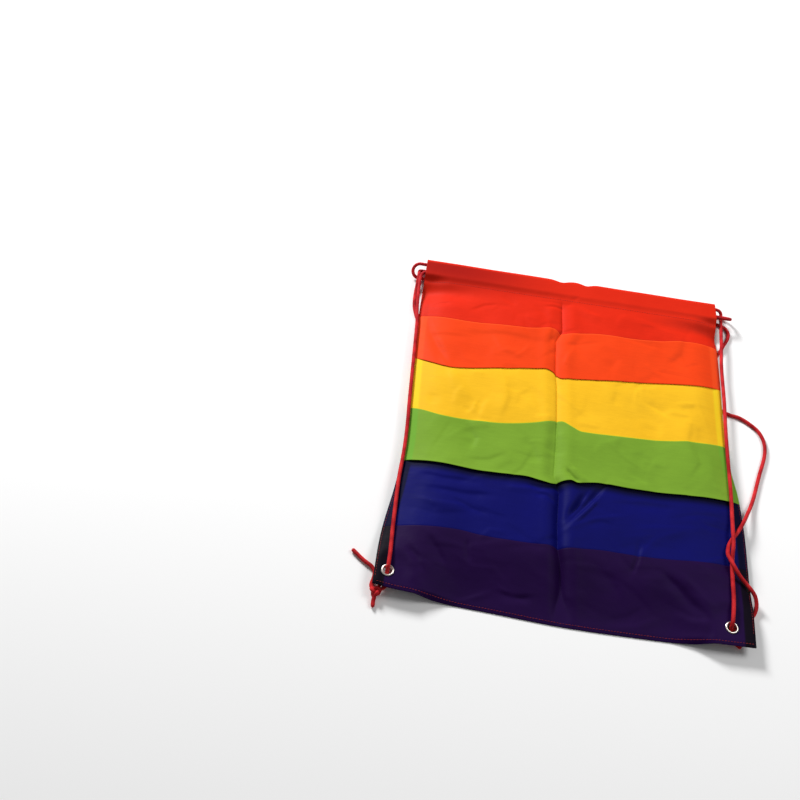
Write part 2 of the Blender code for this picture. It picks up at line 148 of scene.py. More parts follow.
# %% Smooth lines with even spacing
def through(route, steps=24):
    """Points on a smooth curve through the route's points."""
    points = []
    for i in range(len(route) - 1):
        p0, p1 = np.array(route[max(0, i - 1)]), np.array(route[i])
        p2, p3 = np.array(route[i + 1]), np.array(route[min(len(route) - 1, i + 2)])
        for t in np.arange(steps) / steps:
            points.append(0.5 * (2 * p1 + (p2 - p0) * t + (2 * p0 - 5 * p1 + 4 * p2 - p3) * t**2
                                 + (3 * p1 - p0 - 3 * p2 + p3) * t**3))
    return np.array(points + [np.array(route[-1], float)])


def evenly(points, step):
    """The same line with points one step apart."""
    along = np.concatenate([[0.0], np.cumsum(np.linalg.norm(np.diff(points, axis=0), axis=1))])
    at = np.linspace(0.0, along[-1], max(2, round(along[-1] / step) + 1))
    return np.stack([np.interp(at, along, points[:, k]) for k in range(3)], axis=1)


def length_of(points):
    return float(np.linalg.norm(np.diff(points, axis=0), axis=1).sum())


def run_route(side, front_y, back_y):
    """Through the front channel to the other side, round a half turn, and back through the rear channel."""
    middle_y, middle_z = (front_y + back_y) / 2, (FRONT_RUN + BACK_RUN) / 2
    half_y, half_z = (front_y - back_y) / 2, (FRONT_RUN - BACK_RUN) / 2
    radius = math.hypot(half_y, half_z)
    turn = [(side * (TURN_AT + radius * math.sin(a)), middle_y + half_y * math.cos(a),
             middle_z + half_z * math.cos(a)) for a in np.linspace(0.0, math.pi, 25)]
    return np.array([(-side * RUN_END, front_y, FRONT_RUN)] + turn + [(-side * RUN_END, back_y, BACK_RUN)])


left_run = run_route(1, RUN_LOW, RUN_HIGH)
right_run = run_route(-1, RUN_HIGH, RUN_LOW)
print("runs inside the channels:", round(length_of(left_run), 3), round(length_of(right_run), 3), "m")


# %% [markdown]
# ## Braided tubes
# The cord is a round braid: yarns wind both ways and pass over and under each other, which leaves small
# diamonds on its surface. The diamonds are modelled, by moving the points of a tube in and out, so that they
# hold up in a close view. Where a channel hides the cord, its rings stand further apart.

# %% Braided tube
BRAID_ROUND = 6           # yarns side by side around the cord, in each direction
BRAID_PITCH = 0.0026      # along the cord, for one yarn's width around it
BRAID_DEPTH = 0.00030
RING_POINTS = 30
RING_STEP = 0.00052


def plait(around, along):
    """Height of a round braid, 0 to 1, where around runs 0 to 1 about the cord and along is in metres."""
    a = BRAID_ROUND * around + along / BRAID_PITCH
    b = BRAID_ROUND * around - along / BRAID_PITCH
    over_a = (np.floor(a) + np.floor(b)) % 2 == 0
    rib_a, rib_b = np.sin(np.pi * (a % 1)), np.sin(np.pi * (b % 1))
    return np.where(over_a, np.sqrt(rib_a) * (0.6 + 0.4 * rib_b), np.sqrt(rib_b) * (0.6 + 0.4 * rib_a))


def mesh_piece(name, points, faces, material=None):
    mesh = bpy.data.meshes.new(name)
    mesh.from_pydata([tuple(p) for p in points], [], [tuple(f) for f in faces])
    mesh.shade_smooth()
    piece = bpy.data.objects.new(name, mesh)
    bpy.context.scene.collection.objects.link(piece)
    if material is not None:
        mesh.materials.append(material)
    return piece


def carried_frames(line):
    """Tangent, normal and binormal along a line, turned as little as possible from point to point."""
    tangents = np.gradient(line, axis=0)
    tangents /= np.linalg.norm(tangents, axis=1)[:, None]
    normal = np.cross(tangents[0], (0.0, 0.0, 1.0) if abs(tangents[0][2]) < 0.9 else (1.0, 0.0, 0.0))
    normals = []
    for tangent in tangents:
        normal = normal - tangent * (normal @ tangent)
        normal /= np.linalg.norm(normal)
        normals.append(normal)
    normals = np.array(normals)
    return tangents, normals, np.cross(tangents, normals)


def braided_tube(name, line, material, radius=CORD_RADIUS, depth=BRAID_DEPTH):
    """A braided cord along a line, closed by a dome at each end. Its map braid holds (around, metres along)."""
    along = np.concatenate([[0.0], np.cumsum(np.linalg.norm(np.diff(line, axis=0), axis=1))])
    tangents, normals, binormals = carried_frames(line)
    around = np.arange(RING_POINTS) / RING_POINTS
    size = radius - depth + depth * plait(around[None, :], along[:, None])
    dome = np.radians((65.0, 40.0, 18.0))
    size = np.concatenate([size[:1] * np.cos(dome)[:, None], size, size[-1:] * np.cos(dome)[::-1, None]])
    shift = radius * np.sin(dome)
    line = np.concatenate([line[:1] - tangents[:1] * shift[:, None], line,
                           line[-1:] + tangents[-1:] * shift[::-1, None]])
    normals = np.concatenate([normals[:1].repeat(3, 0), normals, normals[-1:].repeat(3, 0)])
    binormals = np.concatenate([binormals[:1].repeat(3, 0), binormals, binormals[-1:].repeat(3, 0)])
    angle = 2 * np.pi * around
    cosine, sine = np.cos(angle)[None, :, None], np.sin(angle)[None, :, None]
    out = normals[:, None, :] * cosine + binormals[:, None, :] * sine
    points = (line[:, None, :] + out * size[:, :, None]).reshape(-1, 3)
    rings, k = len(line), np.arange(RING_POINTS)
    after = (k + 1) % RING_POINTS
    faces = []
    for ring in range(rings - 1):
        low, high = ring * RING_POINTS, (ring + 1) * RING_POINTS
        faces += np.stack([low + k, low + after, high + after, high + k], 1).tolist()
    faces.append(k[::-1].tolist())
    faces.append((k + (rings - 1) * RING_POINTS).tolist())
    piece = mesh_piece(name, points, faces, material)
    grown = np.concatenate([[along[0]] * 3, along, [along[-1]] * 3])
    uvs = piece.data.uv_layers.new(name="braid")
    corner_points = np.zeros(len(piece.data.loops), int)
    piece.data.loops.foreach_get("vertex_index", corner_points)
    u = (corner_points % RING_POINTS) / RING_POINTS
    last = (rings - 1) * RING_POINTS * 4
    wraps = np.zeros(len(corner_points), bool)
    wraps[:last] = np.tile(np.repeat(k == RING_POINTS - 1, 4), rings - 1)
    u = np.where(wraps & (u < 0.5), u + 1.0, u)
    uvs.data.foreach_set("uv", np.stack([u, grown[corner_points // RING_POINTS]], 1).astype(np.float32).ravel())
    return piece


def with_wide_steps_inside(points):
    """Drops most of the points that lie inside a channel, where nobody sees the cord."""
    hidden = (np.abs(points[:, 0]) < RUN_END) & (points[:, 1] > 0.180)
    keep = ~hidden | (np.arange(len(points)) % 6 == 0)
    return points[keep]


print("yarns around the cord:", 2 * BRAID_ROUND)


# %% [markdown]
# ## Materials by one small function
# Every material here is a few nodes around a Principled shader. One function adds a node with its settings
# and links, and one turns a colour written as on a paint card into the linear values that a shader wants.

# %% Node and colour helpers
def linear(hex_colour):
    """#rrggbb in sRGB as linear RGBA."""
    values = [int(hex_colour[i:i + 2], 16) / 255 for i in (1, 3, 5)]
    return (*[v / 12.92 if v <= 0.04045 else ((v + 0.055) / 1.055) ** 2.4 for v in values], 1.0)


def add(material, kind, settings=(), **inputs):
    """Adds a node. settings are its own values, and inputs are socket values or links, by name or number."""
    node = material.node_tree.nodes.new("ShaderNode" + kind)
    for name, value in dict(settings).items():
        setattr(node, name, value)
    for name, value in inputs.items():
        socket = node.inputs[int(name[1:]) if name[1:].isdigit() else name.replace("_", " ")]
        if isinstance(value, bpy.types.NodeSocket):
            material.node_tree.links.new(value, socket)
        else:
            socket.default_value = value
    return node


def new_material(name):
    material = bpy.data.materials.new(name)
    material.use_nodes = True
    material.node_tree.nodes.clear()
    return material


def finish_material(material, shader):
    add(material, "OutputMaterial", Surface=shader.outputs["BSDF"])
    return material


print("mid grey as a linear value:", round(linear("#808080")[0], 3))


# %% [markdown]
# ## Braided polyester cord
# The cord is spun-dyed polyester yarn, braided and left fluffy. It scatters light softly with almost no
# highlight. The gaps between the yarns are darker, and each yarn shows its own fine fibres along its length.

# %% Cord material
FIBRE = 0.00035           # width of a bundle of fibres in a yarn, drawn coarse enough to show close by


def braided_polyester():
    m = new_material("braided_polyester_cord")
    place = add(m, "UVMap", {"uv_map": "braid"})
    split = add(m, "SeparateXYZ", Vector=place.outputs["UV"])
    turn = add(m, "Math", {"operation": "MULTIPLY"}, _0=split.outputs["X"], _1=2 * math.pi * CORD_RADIUS)
    twist = add(m, "Math", {"operation": "ADD"}, _0=turn.outputs[0], _1=split.outputs["Y"])
    wave = add(m, "Math", {"operation": "MULTIPLY"}, _0=twist.outputs[0], _1=2 * math.pi / FIBRE)
    fibre = add(m, "Math", {"operation": "SINE"}, _0=wave.outputs[0])
    solid = add(m, "TexCoord")
    patch = add(m, "TexNoise", Vector=solid.outputs["Object"], Scale=90.0, Detail=3.0)
    tone = add(m, "ValToRGB", Fac=patch.outputs["Fac"])
    tone.color_ramp.elements[0].position, tone.color_ramp.elements[0].color = 0.30, linear("#98121A")
    tone.color_ramp.elements[1].position, tone.color_ramp.elements[1].color = 0.70, linear("#D22C30")
    fuzz = add(m, "TexNoise", Vector=solid.outputs["Object"], Scale=2600.0, Detail=2.0)
    rough = add(m, "Math", {"operation": "MULTIPLY_ADD"}, _0=fuzz.outputs["Fac"], _1=0.16, _2=0.62)
    rib = add(m, "Math", {"operation": "MULTIPLY_ADD"}, _0=fibre.outputs[0], _1=0.5, _2=fuzz.outputs["Fac"])
    bump = add(m, "Bump", Strength=0.35, Distance=0.00012, Height=rib.outputs[0])
    shader = add(m, "BsdfPrincipled", Base_Color=tone.outputs["Color"], Roughness=rough.outputs[0],
                 Normal=bump.outputs["Normal"])
    shader.inputs["Specular IOR Level"].default_value = 0.10
    return finish_material(m, shader)


CORD_FINISH = braided_polyester()
print("made", CORD_FINISH.name)


# %% [markdown]
# ## The two drawcords
# A cord slides in its channels, while its strands outside lie still. One tube is made for the whole cord, through
# the front channel, round the half turn and back through the rear channel. The last stretch of each strand, the
# neck from the eyelet to the knot, is a short tube of its own.


def split_below(line, y):
    """The line's part above y, and the rest of it, which starts at the last point of the first part."""
    cut = int(np.argmax(line[:, 1] < y))
    return line[:cut + 1], line[cut:]


def make_drawcord(side, front, back, run, front_cut, back_cut, knot_at):
    """One cord with its two necks. side is left or right, and the cuts are where the necks begin."""
    front_line, front_neck = split_below(evenly(through(front), RING_STEP), front_cut)
    back_line, back_neck = split_below(evenly(through(back + [knot_at]), RING_STEP), back_cut)
    line = np.concatenate([front_line[::-1], evenly(run, RING_STEP)[1:-1], back_line])
    line = with_wide_steps_inside(line)
    cord = braided_tube(f"{side}_drawcord", line, CORD_FINISH)
    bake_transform(cord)
    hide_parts(f"{side}_front_strand", f"{side}_back_strand", f"{side}_drawcord_run")
    necks = []
    for name, neck in (("front", front_neck), ("back", back_neck)):
        piece = braided_tube(f"{side}_{name}_neck", neck, CORD_FINISH)
        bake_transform(piece)
        necks.append(piece)
    return cord, line, necks


LEFT_KNOT = (-0.1680, -0.2080, 0.0047)
RIGHT_KNOT = (0.1500, -0.1950, 0.0047)
INTO_RIGHT_KNOT = [(0.1492, -0.1941, 0.0078), (0.1496, -0.1948, 0.0058)]
left_cord, left_line, left_necks = make_drawcord(
    "left", LEFT_FRONT, LEFT_BACK, left_run,
    front_cut=-0.1890, back_cut=-0.1860, knot_at=(-0.1650, -0.2060, 0.0045))
right_cord, right_line, right_necks = make_drawcord(
    "right", RIGHT_FRONT + INTO_RIGHT_KNOT, RIGHT_BACK, right_run,
    front_cut=-0.1922, back_cut=-0.1790, knot_at=(0.1535, -0.1925, 0.0044))
print("cord lengths:", round(length_of(left_line), 3), round(length_of(right_line), 3), "m")


# %% [markdown]
# ## Knots and tails
# Both ends of a cord are tied together behind the eyelet. A trefoil curve is what a line drawn along an
# overhand knot looks like when it is pulled tight, so the knot is a braided tube on such a curve, squeezed to
# the size that the frame gives. Two tails of cord stick out of it.

# %% Knots and tails
TAILS = {
    "left_long": [
        (-0.1700, -0.2062, 0.0042), (-0.1722, -0.2030, 0.0034), (-0.1722, -0.1990, 0.0024),
        (-0.1712, -0.1940, 0.0020), (-0.1712, -0.1880, 0.0020), (-0.1750, -0.1825, 0.0020),
        (-0.1830, -0.1775, 0.0020), (-0.1930, -0.1695, 0.0020)],
    "left_short": [
        (-0.1683, -0.2105, 0.0044), (-0.1683, -0.2140, 0.0038), (-0.1686, -0.2168, 0.0028),
        (-0.1684, -0.2205, 0.0021)],
    "right_long": [
        (0.1476, -0.1962, 0.0044), (0.1441, -0.1975, 0.0038), (0.1405, -0.1995, 0.0027),
        (0.1350, -0.2010, 0.0021), (0.1285, -0.1990, 0.0020)],
    "right_short": [
        (0.1512, -0.1982, 0.0044), (0.1530, -0.2004, 0.0038), (0.1552, -0.2035, 0.0027),
        (0.1585, -0.2060, 0.0021)]}
KNOT_TURN = 0.00135       # size of the trefoil, which reaches three of these from its middle
KNOT_RISE = 0.0024
KNOT_TUBE = 0.00180       # the cord is pulled a little thinner in the knot


def tie_knot(side, place):
    t = np.linspace(0.0, 2 * np.pi, 150)
    curl = np.stack([KNOT_TURN * (np.sin(t) + 2 * np.sin(2 * t)), KNOT_TURN * (np.cos(t) - 2 * np.cos(2 * t)),
                     -KNOT_RISE * np.sin(3 * t)], axis=1)
    knot = braided_tube(f"{side}_tied_knot", evenly(curl + np.array(place), 0.0004), CORD_FINISH, KNOT_TUBE)
    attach(knot, f"{side}_cord_knot")
    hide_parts(f"{side}_knot")
    made = [knot]
    for tail in ("long", "short"):
        line = evenly(through(TAILS[f"{side}_{tail}"]), RING_STEP)
        piece = braided_tube(f"{side}_{tail}_tail", line, CORD_FINISH)
        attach(piece, f"{side}_cord_knot")
        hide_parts(f"{side}_knot_{tail}_tail")
        made.append(piece)
    return made


left_knot = tie_knot("left", LEFT_KNOT)
right_knot = tie_knot("right", RIGHT_KNOT)
print("tied", [piece.name for piece in left_knot + right_knot])


# %% [markdown]
# ## Where the cloth lies
# The front wall stands a little off the back wall in the middle and is pressed together at the side seams, the
# bottom seam and the eyelets. Its side margins lie on the rear strands of the cords. The same few heights as in
# the frame give a smooth base, and everything that makes cloth look like cloth is added to it afterwards.

# %% Base heights
EYELETS = {"left": (-0.160, -0.1895), "right": (0.149, -0.1935)}
LEFT_EDGE = [(-0.21, 0.172), (-0.15, 0.171), (-0.095, 0.1645), (-0.045, 0.161), (0.01, 0.163),
             (0.10, 0.166), (0.21, 0.1655)]
RIGHT_EDGE = [(-0.21, 0.170), (-0.10, 0.172), (-0.05, 0.1695), (-0.02, 0.165), (0.02, 0.162),
              (0.12, 0.1625), (0.21, 0.161)]
WALL = 0.0006             # the frame's walls, which are thicker than the cloth
FABRIC = 0.0004           # thickness of the cloth made here
SEAT = 0.0102             # height of the cloth's underside at the eyelets
PILLOW = 0.0139
SEAM_STACK = 0.00162      # height of the front wall's face over the back wall's underside at a seam


def ease(t):
    t = np.clip(t, 0.0, 1.0)
    return t * t * (3 - 2 * t)


def curve(pairs, t):
    """A smooth curve through (t, value) pairs, read at an array of t."""
    ts, vs = (np.array(column, float) for column in zip(*pairs))
    low, high = np.maximum(np.arange(len(ts)) - 1, 0), np.minimum(np.arange(len(ts)) + 1, len(ts) - 1)
    slopes = (vs[high] - vs[low]) / (ts[high] - ts[low])
    t = np.clip(t, ts[0], ts[-1])
    i = np.clip(np.searchsorted(ts, t, side="right") - 1, 0, len(ts) - 2)
    h = ts[i + 1] - ts[i]
    s = (t - ts[i]) / h
    return ((2 * s**3 - 3 * s**2 + 1) * vs[i] + (s**3 - 2 * s**2 + s) * h * slopes[i]
            + (3 * s**2 - 2 * s**3) * vs[i + 1] + (s**3 - s**2) * h * slopes[i + 1])


def half_width(x, y):
    return np.where(x > 0, curve(RIGHT_EDGE, y), curve(LEFT_EDGE, y))


def near_eyelet(x, y):
    """1 where an eyelet clamps the walls together, 0 away from it."""
    gaps = [np.hypot(x - ex, y - ey) for ex, ey in EYELETS.values()]
    return 1 - ease((np.minimum(*gaps) - 0.0124) / 0.014)


def ground(x, y, start=0.115, width=0.023):
    """Height of the back wall's underside: the margins lie on the cords and the bottom corners on the knots."""
    margin = ease((np.abs(x) - start) / width) * (1 - ease((y - 0.134) / 0.034))
    corner = 1 - ease((np.hypot(np.abs(x) - 0.160, y + 0.205) - 0.022) / 0.045)
    return 0.0050 * margin + 0.0052 * corner


def back_height(x, y):
    """Middle of the back wall's cloth, below its channel."""
    height = ground(x, y)
    return height + (SEAT - height) * near_eyelet(x, y) + WALL / 2


def front_base(x, y):
    """Middle of the front wall's cloth, below its channel and without folds."""
    across = 1 - np.minimum(1.0, np.abs(x) / half_width(x, y)) ** 4
    height = ground(x, y, 0.085, 0.060) + SEAM_STACK + PILLOW * across * ease((y + 0.211) / 0.075)
    return height + (SEAT + SEAM_STACK - height) * near_eyelet(x, y) - WALL / 2


print("middle of the front wall stands", round(1000 * float(front_base(0.0, 0.0)), 1), "mm up")


# %% [markdown]
# ## Seams and outline
# A strip ends in a seam above and below. Each seam is a line across the wall, and none of them is quite
# straight: the cloth has been folded in the packet, so every seam has a small step at the fold down the middle
# and runs up or down a few millimetres where the cloth is pulled.

# %% Seam lines
BOTTOM = [(-0.172, -0.2035), (-0.150, -0.2062), (-0.063, -0.2100), (0.002, -0.2128), (0.069, -0.2121),
          (0.167, -0.2092), (0.172, -0.2088)]
FRONT_SEAMS = {
    "purple": [(-0.172, -0.1430), (-0.157, -0.1420), (-0.101, -0.1385), (-0.076, -0.1408), (-0.044, -0.1412),
               (-0.012, -0.1396), (-0.003, -0.1404), (0.034, -0.1372), (0.067, -0.1376), (0.097, -0.1358),
               (0.143, -0.1322), (0.172, -0.1300)],
    "blue": [(-0.172, -0.0665), (-0.158, -0.0669), (-0.121, -0.0686), (-0.080, -0.0708), (-0.041, -0.0690),
             (-0.020, -0.0722), (-0.008, -0.0686), (0.002, -0.0664), (0.009, -0.0676), (0.030, -0.0640),
             (0.060, -0.0648), (0.124, -0.0620), (0.159, -0.0586), (0.172, -0.0565)],
    "green": [(-0.172, -0.0020), (-0.159, -0.0031), (-0.151, -0.0046), (-0.126, -0.0110), (-0.082, -0.0110),
              (-0.061, -0.0088), (-0.031, -0.0016), (-0.009, 0.0036), (0.001, -0.0014), (0.013, -0.0060),
              (0.073, -0.0027), (0.128, 0.0041), (0.160, 0.0090), (0.172, 0.0110)],
    "yellow": [(-0.172, 0.0660), (-0.160, 0.0620), (-0.143, 0.0560), (-0.127, 0.0522), (-0.116, 0.0532),
               (-0.077, 0.0604), (-0.028, 0.0688), (-0.019, 0.0668), (-0.011, 0.0602), (-0.002, 0.0606),
               (0.009, 0.0622), (0.041, 0.0659), (0.082, 0.0722), (0.131, 0.0786), (0.165, 0.0850), (0.172, 0.0865)],
    "orange": [(-0.172, 0.1230), (-0.160, 0.1222), (-0.115, 0.1198), (-0.073, 0.1216), (-0.045, 0.1230),
               (-0.020, 0.1272), (-0.012, 0.1226), (-0.003, 0.1236), (0.026, 0.1290), (0.071, 0.1313),
               (0.100, 0.1345), (0.121, 0.1395), (0.147, 0.1416), (0.172, 0.1440)]}
STRIPS = ["purple", "blue", "green", "yellow", "orange", "red"]
STITCH_LINE = 0.1725      # y where each channel is sewn shut
FRONT_LIP = 0.2008        # y where the front channel's cloth folds over
BACK_LIP = 0.2106
GATHERS = [(-0.0125, 0.0080, 0.0030), (0.0155, 0.0070, 0.0030)]     # x, width and depth, at the mouth


def bottom_line(x):
    return curve(BOTTOM, x)


def back_seam(name, x):
    """A rear seam is the front one smoothed to a parabola, which leaves out the steps at its folds."""
    ts, vs = (np.array(column) for column in zip(*FRONT_SEAMS[name]))
    return np.polyval(np.polyfit(ts, vs, 2), x)


def mouth_pull(x):
    """How far the mouth edge is drawn in by the two small gathers in its middle."""
    return sum(depth * np.exp(-((x - at) / width) ** 2) for at, width, depth in GATHERS)


print("seams per wall:", len(FRONT_SEAMS))


# %% [markdown]
# ## Folds and creases
# The sack was packed folded in half, which left one sharp crease from mouth to bottom, and the cloth around it
# is crumpled where it crosses a seam. A fold is drawn as a line on the wall with a width and a depth. Broad,
# soft waves between the folds come from a few sine waves, which give the same result in every run.

# %% Folds
CREASE = [(-0.012, 0.203), (-0.0115, 0.172), (-0.010, 0.127), (-0.0165, 0.111), (-0.016, 0.070), (-0.014, 0.050),
          (-0.013, 0.004), (-0.013, -0.027), (-0.014, -0.062), (-0.008, -0.079), (-0.009, -0.112),
          (-0.008, -0.139), (-0.005, -0.153), (-0.002, -0.188), (0.000, -0.214)]
# Each fold: its points, width, depth (a ridge is negative)
FOLDS = [
    ([(0.018, 0.204), (0.012, 0.189), (0.003, 0.175), (-0.006, 0.164)], 0.0024, 0.0026),
    ([(0.030, 0.200), (0.020, 0.188), (0.010, 0.176)], 0.0045, -0.0010),
    ([(-0.040, 0.166), (-0.010, 0.168), (0.010, 0.171), (0.038, 0.179)], 0.0022, 0.0014),
    ([(-0.032, 0.159), (-0.018, 0.161), (-0.008, 0.160)], 0.0020, 0.0011),
    ([(0.004, 0.170), (0.018, 0.158), (0.034, 0.152)], 0.0050, -0.0010),
    ([(-0.003, -0.052), (0.003, -0.060), (0.012, -0.068)], 0.0018, 0.0018),
    ([(0.002, -0.048), (0.010, -0.058), (0.019, -0.066)], 0.0026, -0.0012),
    ([(0.036, -0.064), (0.025, -0.081), (0.012, -0.098), (-0.003, -0.118)], 0.0032, 0.0040),
    ([(0.030, -0.080), (0.019, -0.096), (0.006, -0.112)], 0.0024, -0.0016),
    ([(0.020, -0.072), (0.011, -0.090), (-0.002, -0.110)], 0.0028, 0.0028),
    ([(-0.042, -0.076), (-0.028, -0.078), (-0.014, -0.075)], 0.0024, 0.0014),
    ([(-0.034, -0.086), (-0.022, -0.086), (-0.010, -0.092)], 0.0026, 0.0012),
    ([(-0.062, -0.084), (-0.045, -0.083), (-0.030, -0.080)], 0.0030, -0.0009),
    ([(-0.150, -0.080), (-0.120, -0.084), (-0.085, -0.083)], 0.0032, 0.0011),
    ([(-0.142, -0.096), (-0.100, -0.098), (-0.066, -0.095)], 0.0034, 0.0010),
    ([(-0.150, -0.110), (-0.120, -0.113), (-0.090, -0.112)], 0.0040, -0.0008),
    ([(-0.112, -0.104), (-0.090, -0.113), (-0.072, -0.118)], 0.0026, 0.0009),
    ([(0.040, -0.085), (0.075, -0.080), (0.110, -0.078)], 0.0045, 0.0009),
    ([(0.060, -0.110), (0.090, -0.104), (0.135, -0.098)], 0.0050, -0.0008),
    ([(0.068, -0.122), (0.066, -0.140), (0.060, -0.158)], 0.0022, 0.0014),
    ([(0.086, -0.148), (0.102, -0.160), (0.116, -0.174), (0.132, -0.190)], 0.0040, 0.0020),
    ([(0.100, -0.146), (0.120, -0.163), (0.136, -0.180)], 0.0050, -0.0012),
    ([(0.137, -0.186), (0.132, -0.197), (0.130, -0.209)], 0.0028, 0.0026),
    ([(-0.128, -0.148), (-0.119, -0.160), (-0.108, -0.176)], 0.0032, 0.0013),
    ([(-0.092, -0.146), (-0.090, -0.157), (-0.087, -0.168)], 0.0022, 0.0010),
    ([(-0.146, -0.160), (-0.136, -0.172), (-0.128, -0.188)], 0.0036, 0.0013),
    ([(-0.060, -0.190), (-0.044, -0.193), (-0.026, -0.190)], 0.0030, 0.0013),
    ([(0.020, -0.150), (0.040, -0.163), (0.052, -0.180)], 0.0060, 0.0008),
    ([(-0.167, 0.146), (-0.152, 0.100), (-0.127, 0.052)], 0.0055, 0.0019),
    ([(-0.128, 0.054), (-0.112, 0.030), (-0.100, 0.010)], 0.0070, -0.0010),
    ([(-0.070, 0.050), (-0.066, 0.025), (-0.072, -0.004)], 0.0060, -0.0011),
    ([(-0.104, -0.016), (-0.094, -0.032), (-0.098, -0.048)], 0.0050, 0.0012),
    ([(-0.045, -0.020), (-0.036, -0.036), (-0.028, -0.054)], 0.0050, 0.0011),
    ([(-0.128, 0.100), (-0.070, 0.108), (-0.020, 0.104)], 0.0070, 0.0008),
    ([(0.105, 0.100), (0.122, 0.120), (0.128, 0.150)], 0.0075, 0.0013),
    ([(0.060, 0.165), (0.095, 0.150), (0.120, 0.146)], 0.0080, -0.0010),
    ([(0.036, 0.118), (0.048, 0.096), (0.040, 0.078)], 0.0060, 0.0009),
    ([(0.070, 0.040), (0.090, 0.020), (0.088, 0.000)], 0.0070, 0.0008),
    ([(0.125, 0.036), (0.118, 0.006), (0.126, -0.030)], 0.0060, -0.0010)]


def gap_to(line, x, y):
    """Distance from each point to a line of points, which side it lies on, and its share of the way along."""
    best, side, share = np.full(x.shape, np.inf), np.zeros(x.shape), np.zeros(x.shape)
    for i, ((x0, y0), (x1, y1)) in enumerate(zip(line, line[1:])):
        dx, dy = x1 - x0, y1 - y0
        t = np.clip(((x - x0) * dx + (y - y0) * dy) / (dx * dx + dy * dy), 0.0, 1.0)
        ox, oy = x - x0 - t * dx, y - y0 - t * dy
        gap = np.hypot(ox, oy)
        nearer = gap < best
        side = np.where(nearer, np.sign(dx * oy - dy * ox), side)
        share = np.where(nearer, (i + t) / (len(line) - 1), share)
        best = np.minimum(best, gap)
    return best, side, share


def fold_height(line, width, depth, x, y):
    """One fold: steep on one side and soft on the other, and dying out at both ends."""
    gap, side, share = gap_to(line, x, y)
    reach = width * np.where(side > 0, 0.65, 1.5)
    ends = ease(share / 0.3) * ease((1 - share) / 0.3)
    return -depth * np.exp(-(gap / reach) ** 2) * (0.15 + 0.85 * ends) * (gap < 4 * width)


def small_creases(count, seed):
    """Short faint folds all over the cloth, from a seeded generator: they are the same in every run."""
    pick = np.random.default_rng(seed)
    made = []
    for _ in range(count):
        x, y = pick.uniform(-0.155, 0.155), pick.uniform(-0.205, 0.165)
        low_half = y < -0.07
        angle = pick.normal(0.0, 0.35) if low_half else pick.uniform(0, math.pi)
        reach = pick.uniform(0.008, 0.030) * (1.5 if low_half else 1.0)
        bend = pick.normal(0.0, 0.25) * reach
        dx, dy = reach * math.cos(angle), reach * math.sin(angle)
        line = [(x - dx, y - dy), (x - dy * bend / reach, y + dx * bend / reach), (x + dx, y + dy)]
        made.append((line, pick.uniform(0.0020, 0.0055), pick.choice([-1, 1]) * pick.uniform(0.00020, 0.00060)))
    return made


SMALL_CREASES = small_creases(count=170, seed=12)


def soft_waves(x, y):
    """Broad waves of the cloth, under a millimetre high."""
    low = np.sin(41 * x + 23 * y + 0.8) * np.sin(37 * y - 19 * x + 2.1)
    middle = np.sin(71 * x - 52 * y + 4.0) * np.sin(63 * y + 31 * x + 0.4)
    fine = np.sin(160 * x + 90 * y + 3 * np.sin(40 * y)) * np.sin(140 * y - 70 * x + 3 * np.sin(33 * x + 1.0))
    return 0.00060 * low + 0.00030 * middle + 0.00007 * fine


def folds(x, y):
    """All the folds of the front wall, which die out towards the side seams."""
    height = soft_waves(x, y)
    gap, side, _ = gap_to(CREASE, x, y)
    lower = ease((-0.062 - y) / 0.02)
    middle = ease((0.010 - y) / 0.03) * (1 - lower)
    depth = 0.0019 + 0.0050 * lower + 0.0016 * middle
    reach = np.where(side > 0, 0.0034 + 0.0006 * middle, 0.0028 + 0.0018 * lower + 0.0050 * middle)
    height = height - depth / (1 + (gap / reach) ** 2) - 0.0009 * np.maximum(0.0, 1 - gap / 0.0012)
    height = height + 0.0009 * np.exp(-((gap - 0.012) / 0.006) ** 2)
    for line, width, depth in FOLDS + SMALL_CREASES:
        height = height + fold_height(line, width, depth, x, y)
    inside = ease((half_width(x, y) - np.abs(x) - 0.004) / 0.022) * ease((y - bottom_line(x)) / 0.012)
    return height * inside * (1 - near_eyelet(x, y))


def seam_relief(x, y):
    """At two seams the upper strip's edge stands over the lower strip; the others lie flat."""
    relief = np.zeros(x.shape)
    for name, lift, drop, reach in (("blue", 0.0010, 0.0014, 0.010), ("yellow", 0.0004, 0.0007, 0.006)):
        above = y - curve(FRONT_SEAMS[name], x)
        gap = np.abs(above)
        relief += np.where(above > -0.0001, lift * np.exp(-gap / 0.006), -drop * np.exp(-gap / reach))
    return relief * ease((half_width(x, y) - np.abs(x)) / 0.012)


def front_height(x, y):
    """Middle of the front wall's cloth below its channel."""
    full = front_base(x, y) + folds(x, y) + seam_relief(x, y)
    at_edge = back_height(x, y) + FABRIC + 0.00008
    full = at_edge + 0.5 * ((full - at_edge) + np.sqrt((full - at_edge) ** 2 + 0.0008**2))
    to_edge = np.minimum(half_width(x, y) - np.abs(x), y - bottom_line(x))
    return at_edge + (full - at_edge) * ease(to_edge / 0.0045)


print("folds drawn:", len(FOLDS) + 1)


# %% [markdown]
# ## The front channel
# Above the last seam the red cloth is folded over at the mouth and sewn down about 28 mm below, which leaves a
# flat tunnel for the cords. The cloth hugs the two cords inside: two low ridges run across, with a hollow
# between them. It is one strip of cloth, over the lip and back to the stitch line, so it is made as one sheet.

# %% Channel profile
FRONT_HEM = 0.0111        # middle of the folded-in layer, under the cords
FRONT_OVER = 0.0161       # middle of the outer layer where it passes over a cord


def stitch_height(x):
    """Height of the front stitch line, pulled down more in the left half."""
    dip = 0.0140 + 0.0007 * ease((x + 0.06) / 0.10)
    return dip - 0.0036 * ease((np.abs(x) - 0.135) / 0.026)


